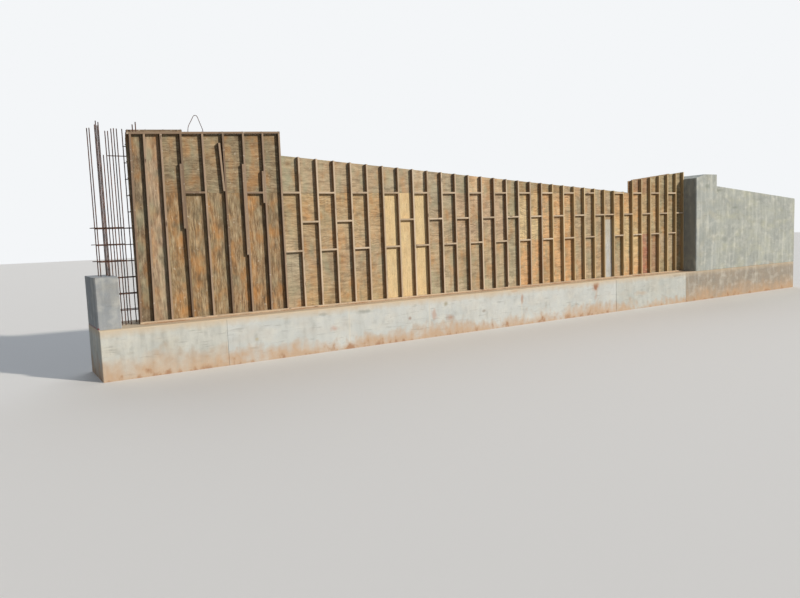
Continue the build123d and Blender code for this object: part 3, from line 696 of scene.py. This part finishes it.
# Concrete: the joints between the boards of its own form, from the left end, then rust and soil
# that ran down the outer face and smears of cement
JOINT_LINES = (x_left + 4.922, x_left + 7.012, x_left + 9.860)
MIDDLE_STAINS = (
    (-8.57, 0.45, 0.07, 0.07, "#b09a52", 0.6),
    (-7.08, 0.80, 0.24, 0.04, "#8d9088", 0.5),
    (-6.85, 0.47, 0.14, 0.07, "#c08e78", 0.5),
    (-6.13, 0.77, 0.28, 0.05, "#8d9088", 0.6),
    (-4.95, 0.50, 0.06, 0.06, "#8a6044", 0.6),
    (-4.27, 0.53, 0.10, 0.14, "#b98a72", 0.5),
    (-3.93, 0.75, 0.08, 0.08, "#8f8258", 0.6),
    (-3.79, 0.41, 0.16, 0.11, "#a9714a", 0.7),
    (-2.78, 0.47, 0.09, 0.04, "#7d6d5c", 0.5),
    (-1.80, 0.88, 0.14, 0.04, "#b9875f", 0.6),
    (-1.54, 0.66, 0.05, 0.13, "#a8714c", 0.55),
    (1.18, 0.76, 0.21, 0.19, "#b58560", 0.7),
    (1.16, 0.78, 0.11, 0.12, "#8f5a3b", 0.7),
    (1.20, 0.55, 0.08, 0.16, "#b58a6a", 0.5),
)
RIGHT_STAINS = (
    (3.10, 0.45, 0.30, 0.08, "#c3a27e", 0.35),
    (4.75, 0.85, 0.50, 0.06, "#9c9384", 0.7),
)
CONCRETE = {
    "base_left": concrete(
        "board-cast concrete, left pour", "#cfd2cd", "#aeb4b2", "#c8c0ae",
        soil=(0.05, 0.45), dust=0.8, streaky=0.4,
    ),
    "base_middle": concrete(
        "board-cast concrete, middle pour", "#d1d6d5", "#b2bcbe", "#cec8bd",
        soil=(0.02, 0.30), dust=0.8, stains=MIDDLE_STAINS, lines=JOINT_LINES, mottle=0.42, streaky=0.15,
    ),
    "base_right": concrete(
        "board-cast concrete, right pour", "#c6cbc8", "#adb5b2", "#c6c0b2",
        soil=(-0.02, 0.22), dust=0.75, stains=RIGHT_STAINS, mottle=0.42, streaky=0.15,
    ),
    # This pour is drawn darker and browner than the others
    "wing_base": concrete(
        "board-cast concrete under the wing, drawn darker", "#a29789", "#8a857c", "#a5947d",
        soil=(0.02, 0.45), dust=0.5,
    ),
    "end_stub": concrete(
        "old cast concrete, stub", "#9ba2a9", "#7d858d", "#a19f97",
        stains=((x_left + 0.01, z_base + 0.02, 0.02, 0.02, "#9c423c", 0.8),),
    ),
    "end_pilaster": concrete(
        "cast concrete, pilaster", "#acb3b0", "#969d98", "#b9b7a4",
        stains=(
            # The first stain is painted shade: it darkens the pilaster's left face, which is in shade, over
            # its full height
            (x_wing, z_base + 1.40, 0.04, 3.00, "#7d868b", 0.7),
            (x_wing + 0.55, z_base + 2.62, 0.16, 0.10, "#8b9186", 0.7),
        ),
        mottle=0.6, streaky=0.4,
    ),
    "wing_wall": concrete(
        "cast concrete, wing", "#afb5af", "#949b9b", "#bcbea6",
        stains=(
            (x_wall + 0.15, z_base + 2.50, 0.22, 0.07, "#7f857c", 0.7),
            (x_wall + 1.00, z_base + 1.95, 0.20, 0.06, "#868c83", 0.7),
            (x_wall + 0.45, z_base + 0.95, 0.20, 0.10, "#8d938c", 0.6),
            (x_wall + 2.40, z_base + 2.20, 0.30, 0.06, "#8e948a", 0.6),
        ),
        mottle=0.6, streaky=0.35,
    ),
}

# Sheets


def course(*sheets):
    """Sheets of the long section, each by the stud at its left edge and the tints of its head and foot."""
    return [(stud_line(stud), head, foot) for stud, head, foot in sheets]


x_second_bay = x_form + 290 * MM
x_tall_joint = solids("front_tall_lower_sheets")[1][0].x
x_high_end = solids("rear_tall_top_plate")[1][0].x
SHEETS = {
    "front_tall_end_sheets": plywood(
        # The first, narrow sheet is drawn in a dark umber tint, darker than the sheet beside it
        "weathered plywood, end sheets", [(x_form, "umber", "umber"), (x_second_bay, "rosy", "rosy")],
        upright=True, ring=60 * MM, wander=2.5, stretch=5, figure=0.5, film=0.5, wear=1.2,
    ),
    "front_tall_lower_sheets": plywood(
        "oiled plywood, lower sheets", [(x_form, "ochre", "ochre"), (x_tall_joint, "ochre", "rusty")],
        upright=True, head=2.4, ring=45 * MM, wander=6, stretch=3, figure=0.7, gold=0.55, film=0.3,
        wear=1.5,
    ),
    "front_tall_upper_sheet": plywood(
        "weathered plywood, upper sheet", [(x_form, "brown", "brown")],
        ring=58 * MM, wander=2.5, stretch=4, figure=0.6, wear=1.3,
    ),
    "front_lower_sheets": plywood(
        "reused plywood, lower course",
        course((0, "grey", "tan"), (1, "tan", "golden"), (9, "sandy", "dusty"), (15, "sage", "dusty"),
               (16, "orange", "orange"), (21, "tan", "tan"), (25, "olive", "tan"), (26, "yellow", "orange"),
               (28, "brick", "brick"), (29, "clay", "clay"), (30, "tan", "olive")),
        head=0.9, foot=0.1, ring=80 * MM, wander=5, figure=0.3, gold=0.45, film=0.5,
    ),
    "front_middle_sheets": plywood(
        "reused plywood, middle course",
        course((0, "golden", "sandy"), (9, "grey", "tan"), (11, "blush", "blush"), (15, "olive", "sage"),
               (16, "fresh", "fresh"), (18, "orange", "orange"), (21, "tan", "tan"),
               (25, "orange", "yellow"), (28, "golden", "golden"), (30, "olive", "olive")),
        head=2.4, foot=1.3, ring=60 * MM, wander=9, stretch=1.8, figure=0.6, gold=0.45,
    ),
    "front_top_sheets": plywood(
        "reused plywood, top course",
        course((0, "sage", "sage"), (1, "tan", "tan"), (6, "grey", "grey"), (8, "pale", "pale"),
               (9, "grey", "grey"), (12, "cream", "cream"), (15, "sage", "sage"), (16, "ochre", "golden"),
               (20, "tan", "tan"), (22, "dusty", "tan"), (24, "olive", "olive")),
        ring=80 * MM, wander=4, figure=0.3, film=0.5,
    ),
    "front_step_sheet": plywood(
        "reused plywood, last panel", course((26, "clay", "clay"), (29, "olive", "olive")), gold=0.35
    ),
    "front_new_sheet": plywood(
        "new pine plywood", course((6, "fresh", "fresh")), upright=True,
        ring=70 * MM, wander=4, stretch=5, figure=0.12, gold=0.15, film=0.08, wear=0.3,
    ),
    "front_coated_strip": plywood(
        "pale coated plywood", course((24, "chalky", "cold")), upright=True, head=1.6, foot=0.6,
        figure=0.06, gold=0.05, film=0.2, wear=0.4,
    ),
    "rear_lower_sheets": plywood(
        "reused plywood, inner lower course",
        course((0, "tan", "golden"), (12, "brown", "tan"), (18, "sandy", "dusty"), (24, "tan", "tan")),
        head=1.1, foot=0.25,
    ),
    "rear_middle_sheets": plywood(
        "reused plywood, inner middle course",
        course((0, "sandy", "sandy"), (6, "grey", "tan"), (18, "yellow", "golden"), (30, "olive", "olive")),
        head=2.4, foot=1.3,
    ),
    "rear_top_sheets": plywood(
        "reused plywood, inner top course",
        course((0, "grey", "grey"), (12, "tan", "tan"), (24, "olive", "olive")),
    ),
    "rear_step_sheet": plywood("reused plywood, inner last panel", course((28, "clay", "clay"))),
    "rear_tall_sheets": plywood(
        "reused plywood, inner tall panel", [(x_form, "brown", "ochre"), (x_high_end, "tan", "brown")]
    ),
}
for node, material in (CONCRETE | SHEETS).items():
    nodes[node].data.materials.clear()
    nodes[node].data.materials.append(material)

# Framing
# Each timber's side colour is painted shade for the boards' faces along x
pale_timber = timber("weathered sawn pine", ("#bfab91", "#d2bea3", "#e6d4ba"))
dusty_timber = timber("dusty sawn pine", ("#cdb69a", "#d8c3a6", "#e0cdb2"))
yellow_timber = timber("newer sawn pine", ("#cbb184", "#dec596", "#ecd8b2"), side="#a18861")
tall_timber = timber("brown sawn pine", ("#7d6a56", "#95806c", "#ae9881"), side="#3f2a1c")
FRAMING = {
    "front_tall_studs": tall_timber,
    "front_tall_top_plate": tall_timber,
    "front_tall_blocks": tall_timber,
    "front_tall_scabs": tall_timber,
    "front_bottom_plates": dusty_timber,
    "front_studs_left": pale_timber,
    "front_studs_middle": pale_timber,
    "front_studs_right": yellow_timber,
    "front_step_studs": yellow_timber,
    "front_blocks_low": pale_timber,
    "front_blocks_middle": pale_timber,
    "front_blocks_high": pale_timber,
    "rear_tall_studs": tall_timber,
    "rear_tall_top_plate": tall_timber,
    "rear_bottom_plates": dusty_timber,
    "rear_long_studs": pale_timber,
    "rear_step_studs": yellow_timber,
    "rear_blocks": pale_timber,
}
for node, material in FRAMING.items():
    stud = "studs" in node
    axis = UPRIGHT if stud or "scabs" in node else LEVEL
    boards(node, material, axis, STUD_BOW if stud else 0)

# Form nails: through the studs into both ends of each block, into the boards beside the tall
# studs, and down through the top plates
nail_points = []
nail_ways = []


def drive(way, x, y, z):
    """Two nails side by side across a board that faces a way."""
    for depth in (0.25, 0.75):
        nail_points.append((x, y + depth * STUD_DEPTH, z))
        nail_ways.append(way)


LEFTWARDS, RIGHTWARDS, UPWARDS = (-1, 0, 0), (1, 0, 0), (0, 0, 1)
NAIL_STEP = 0.3
for node in nodes:
    if "blocks" in node:
        for low, high in solids(node):
            drive(LEFTWARDS, low.x - BOARD, low.y, (low.z + high.z) / 2)
            # No nail fits between the last stud and the pilaster
            if high.x + 2 * BOARD < x_wing:
                drive(RIGHTWARDS, high.x + BOARD, low.y, (low.z + high.z) / 2)
for low, high in solids("front_tall_scabs"):
    leaning = high.x - low.x >= 1.2 * BOARD
    if not leaning:
        for step in range(1, int((high.z - low.z) / NAIL_STEP)):
            drive(LEFTWARDS, low.x, low.y, low.z + step * NAIL_STEP)
for side in ("front", "rear"):
    stud_heads = [high.x - BOARD / 2 for low, high in solids(side + "_tall_studs")]
    for low, high in solids(side + "_tall_top_plate"):
        slope = (high.z - low.z - BOARD) / (high.x - low.x)
        for stud_head in stud_heads:
            if low.x < stud_head < high.x:
                drive(UPWARDS, stud_head, low.y, low.z + BOARD + slope * (stud_head - low.x))
nail_steel = rusty_steel("weathered nail steel", "#8b7a70", "#5f5550")
form_nails = grow("form_nails", nail_tree(), nail_points, nail_steel, facing=nail_ways)

# Reinforcement
rusty_bar = rusty_steel("rusty reinforcing steel", "#74503f", "#46332c")
for node in nodes:
    if "bars" in node:
        nodes[node].data.materials.clear()
        nodes[node].data.materials.append(rusty_bar)

# Round ribbed bars in place of the eight-sided ones that stand in the open, with a wire tie
# wherever a level bar crosses one
ribbed = ribbed_bar_tree()
ties = tie_tree()
for side in ("front", "rear"):
    points = []
    edges = []
    crossings = []
    levels = solids(side + "_level_bars")
    for low, high in solids(side + "_cage_bars"):
        middle = (low + high) / 2
        edges.append((len(points), len(points) + 1))
        points += [(middle.x, middle.y, low.z), (middle.x, middle.y, high.z)]
        for level_low, level_high in levels:
            level = (level_low + level_high) / 2
            if level_low.x < middle.x < level_high.x and low.z < level.z < high.z:
                crossings.append((middle.x, (middle.y + level.y) / 2, level.z))
    cage = grow(side + "_cage_ribbed", ribbed, points, rusty_bar, edges, bends=[0.0] * len(points))
    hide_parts(side + "_cage_bars")
    grow(side + "_wire_ties", ties, crossings, nail_steel)

SMALL_BAR = {"Core": 6.1 * MM, "Rib": 6.6 * MM, "Step": 9 * MM}
HALF_SMALL_BAR = 6.5 * MM
HOOP_BEND = 60 * MM
points = []
edges = []
bends = []
for low, high in solids("cage_hoops"):
    hoop_left = low.x + HALF_SMALL_BAR
    hoop_front = low.y + HALF_SMALL_BAR
    hoop_rear = high.y - HALF_SMALL_BAR
    hoop_z = (low.z + high.z) / 2
    start = len(points)
    edges += [(start, start + 1), (start + 1, start + 2), (start + 2, start + 3)]
    points += [
        (high.x, hoop_front, hoop_z), (hoop_left, hoop_front, hoop_z),
        (hoop_left, hoop_rear, hoop_z), (high.x, hoop_rear, hoop_z),
    ]
    bends += [0.0, HOOP_BEND, HOOP_BEND, 0.0]
hoops = grow("ribbed_hoops", ribbed, points, rusty_bar, edges, bends=bends, **SMALL_BAR)
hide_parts("cage_hoops")

# The bent bar's corners, right of the form's end and above the base, with the radius of each bend
LOOP_CORNERS = (
    (1.161, 2.960, 0.0),
    (1.161, 3.690, 0.250),
    (1.325, 3.990, 0.045),
    (1.451, 3.645, 0.250),
    (1.470, 2.960, 0.0),
)
loop_low, loop_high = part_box("bent_bar_loop")
loop_y = (loop_low.y + loop_high.y) / 2
points = []
bends = []
for place, height, bend in LOOP_CORNERS:
    points.append((x_form + place, loop_y, z_base + height))
    bends.append(bend)
edges = [(corner, corner + 1) for corner in range(len(points) - 1)]
loop = grow("ribbed_loop", ribbed, points, rusty_bar, edges, bends=bends, **SMALL_BAR)
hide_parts("bent_bar_loop")

# Soil and crumbs on the ledges, banked against the bottom plates
soil = loose_soil("dry clay soil")
# Reach of the bank from the form's foot, how many times that it is drawn, its height, the cells of
# its mesh, its depth in the ledge and the length of its tapered ends
SOIL_REACH = 0.10
SOIL_SPREAD = 1.6
SOIL_PEAK = 15 * MM
SOIL_CELL = 25 * MM
SOIL_ROWS = 12
SOIL_ROOT = 6 * MM
SOIL_END = 0.12
CRUMB_COUNT = 2400
CRUMB_MARGIN = 20 * MM
CRUMB_LIFT = 2 * MM


def soil_height(x, distance, reach, peak):
    """Height of the soil at x, at a distance from the form's foot; below zero where there is none."""
    long_swell = 0.9 * noise.noise((x * 1.3, 5.0, 0.0))
    short_swell = 0.5 * noise.noise((x * 5, 1.0, 0.0))
    swell = 0.75 + long_swell + short_swell
    width = reach * max(0.15, swell)
    lumps = 0.3 * noise.noise((x * 14, distance * 14, 3.0))
    clods = 0.12 * noise.noise((x * 40, distance * 40, 7.0))
    return peak * ((1 - distance / width) * max(0.2, swell) + lumps + clods - 0.12)


def soil_bank(name, x_start, x_end, y_foot, way, reach, peak):
    """A closed bank of soil along the form's foot, rooted in the ledge, so that it thins out on it.
    Way is -1 on the outer side and 1 on the inner."""
    bank = bmesh.new()
    columns = int((x_end - x_start) / SOIL_CELL)
    tops = {}
    for column in range(columns + 1):
        x = x_start + (x_end - x_start) * column / columns
        taper = min(1.0, (x - x_start) / SOIL_END, (x_end - x) / SOIL_END)
        for row in range(SOIL_ROWS + 1):
            distance = reach * SOIL_SPREAD * row / SOIL_ROWS
            height = max(-SOIL_ROOT / 2, taper * soil_height(x, distance, reach, peak) - (1 - taper) * MM)
            tops[column, row] = bank.verts.new((x, y_foot + way * distance, z_base + height))
    for column in range(columns):
        for row in range(SOIL_ROWS):
            ring = [(column, row), (column + 1, row), (column + 1, row + 1), (column, row + 1)]
            bank.faces.new([tops[corner] for corner in ring])
    under = bmesh.ops.extrude_face_region(bank, geom=list(bank.faces), use_keep_orig=True)
    for part in under["geom"]:
        if isinstance(part, bmesh.types.BMVert):
            part.co.z = z_base - SOIL_ROOT
    bmesh.ops.recalc_face_normals(bank, faces=bank.faces)
    for face in bank.faces:
        face.smooth = face.normal.z > 0.2
    return finish_mesh(name, bank, soil)


def strew(name, count, ledge, x_start, x_end, y_foot, way, reach, peak):
    """Points for crumbs on the bank and on the ledge beside it, none past the ledge's edge."""
    pick = random.Random(name)
    nearest = 0.2 * reach
    furthest = min(3.4 * reach, ledge - CRUMB_MARGIN)
    points = []
    for _ in range(count):
        x = pick.uniform(x_start, x_end)
        distance = nearest + (furthest - nearest) * pick.random() ** 2
        height = max(0.0, soil_height(x, distance, reach, peak)) + CRUMB_LIFT
        points.append((x, y_foot + way * distance, z_base + height))
    return points


crumbs = crumb_tree()
y_rear_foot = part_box("rear_bottom_plates")[1].y
base_low, base_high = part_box("base_middle")
LEDGES = (
    ("front", y_front_studs, -1, y_front_studs - base_low.y),
    ("rear", y_rear_foot, 1, base_high.y - y_rear_foot),
)
for side, y_foot, way, ledge in LEDGES:
    stretch = (x_form, x_wing, y_foot, way, SOIL_REACH, SOIL_PEAK)
    soil_bank(side + "_soil_bank", *stretch)
    strewn = strew(side + "_crumbs", CRUMB_COUNT, ledge, *stretch)
    grow(side + "_crumbs", crumbs, strewn, soil)

# Camera, at the photograph's place
CAMERA_PLACE = Vector((-13.0658, -13.2372, 2.3874))
CAMERA_YAW = math.radians(32.1014)
CAMERA_PITCH = math.radians(5.4941)
CAMERA_ROLL = math.radians(-2.2132)
CAMERA_LENS = 29.89

forward = Vector((
    math.sin(CAMERA_YAW) * math.cos(CAMERA_PITCH),
    math.cos(CAMERA_YAW) * math.cos(CAMERA_PITCH),
    -math.sin(CAMERA_PITCH),
))
level_right = Vector((math.cos(CAMERA_YAW), -math.sin(CAMERA_YAW), 0))
level_up = level_right.cross(forward)
right = level_right * math.cos(CAMERA_ROLL) + level_up * math.sin(CAMERA_ROLL)
up = level_up * math.cos(CAMERA_ROLL) - level_right * math.sin(CAMERA_ROLL)
lens = bpy.data.cameras.new("camera")
lens.lens = CAMERA_LENS
lens.clip_end = 500
camera = bpy.data.objects.new("camera", lens)
camera.matrix_world = Matrix.Translation(CAMERA_PLACE) @ Matrix((right, up, -forward)).transposed().to_4x4()
bpy.context.scene.collection.objects.link(camera)
bpy.context.scene.camera = camera

# Light: a low sun from the right of the wall, a weak wide one from behind and a pale sky


def shine(name, side, height, energy, spread, colour):
    """A sun at a side, in degrees from straight in front of the wall to its right, and a height."""
    side = math.radians(side)
    height = math.radians(height)
    light_from = Vector((
        math.sin(side) * math.cos(height),
        -math.cos(side) * math.cos(height),
        math.sin(height),
    ))
    light = bpy.data.lights.new(name, "SUN")
    light.energy = energy
    light.angle = math.radians(spread)
    light.color = linear(colour)[:3]
    lamp = bpy.data.objects.new(name, light)
    lamp.rotation_euler = light_from.to_track_quat("Z", "Y").to_euler()
    bpy.context.scene.collection.objects.link(lamp)


shine("sun", side=32, height=24, energy=3.15, spread=3, colour="#fff6ea")
shine("light from behind", side=155, height=40, energy=0.8, spread=50, colour="#eef3fa")

world = bpy.data.worlds.new("pale sky")
world.use_nodes = True
sky = world.node_tree
sky.nodes.clear()
rays = add(sky, "ShaderNodeLightPath").outputs
glossy, through = rays["Is Glossy Ray"], rays["Is Transmission Ray"]
mirrored = add(sky, "ShaderNodeMath", {0: glossy, 1: through}, operation="MAXIMUM")
seen = add(sky, "ShaderNodeMath", {0: rays["Is Camera Ray"], 1: mirrored}, operation="MAXIMUM")
strength = add(sky, "ShaderNodeMapRange", {"Value": seen, "To Min": 0.28, "To Max": 1.0})
sky_colour = stain(sky, linear("#d3deee"), "#f4f6f8", seen, 0, 1, 1)
background = add(sky, "ShaderNodeBackground", {"Color": sky_colour, "Strength": strength})
add(sky, "ShaderNodeOutputWorld", {"Surface": background})
bpy.context.scene.world = world

# Floor
FLOOR_REACH = 120
floor_mesh = bmesh.new()
bmesh.ops.create_grid(floor_mesh, x_segments=1, y_segments=1, size=FLOOR_REACH)
floor_data = bpy.data.meshes.new("floor")
floor_mesh.to_mesh(floor_data)
floor_mesh.free()
floor = bpy.data.objects.new("floor", floor_data)
bpy.context.scene.collection.objects.link(floor)
floor_finish, floor_tree, floor_place = start_finish("pale floor")
grit = blots(floor_tree, floor_place, 400, detail=3)
floor_rays = add(floor_tree, "ShaderNodeLightPath").outputs
floor_seen = add(
    floor_tree, "ShaderNodeMath",
    {0: floor_rays["Is Camera Ray"], 1: floor_rays["Is Glossy Ray"]}, operation="MAXIMUM",
)
floor_colour = stain(floor_tree, linear("#a09c94"), "#e9e8e5", floor_seen, 0, 1, 1)
end_finish(floor_tree, floor_colour, grit, 0.1 * MM, 0.9)
floor_data.materials.append(floor_finish)

bpy.context.scene.view_settings.view_transform = "Standard"
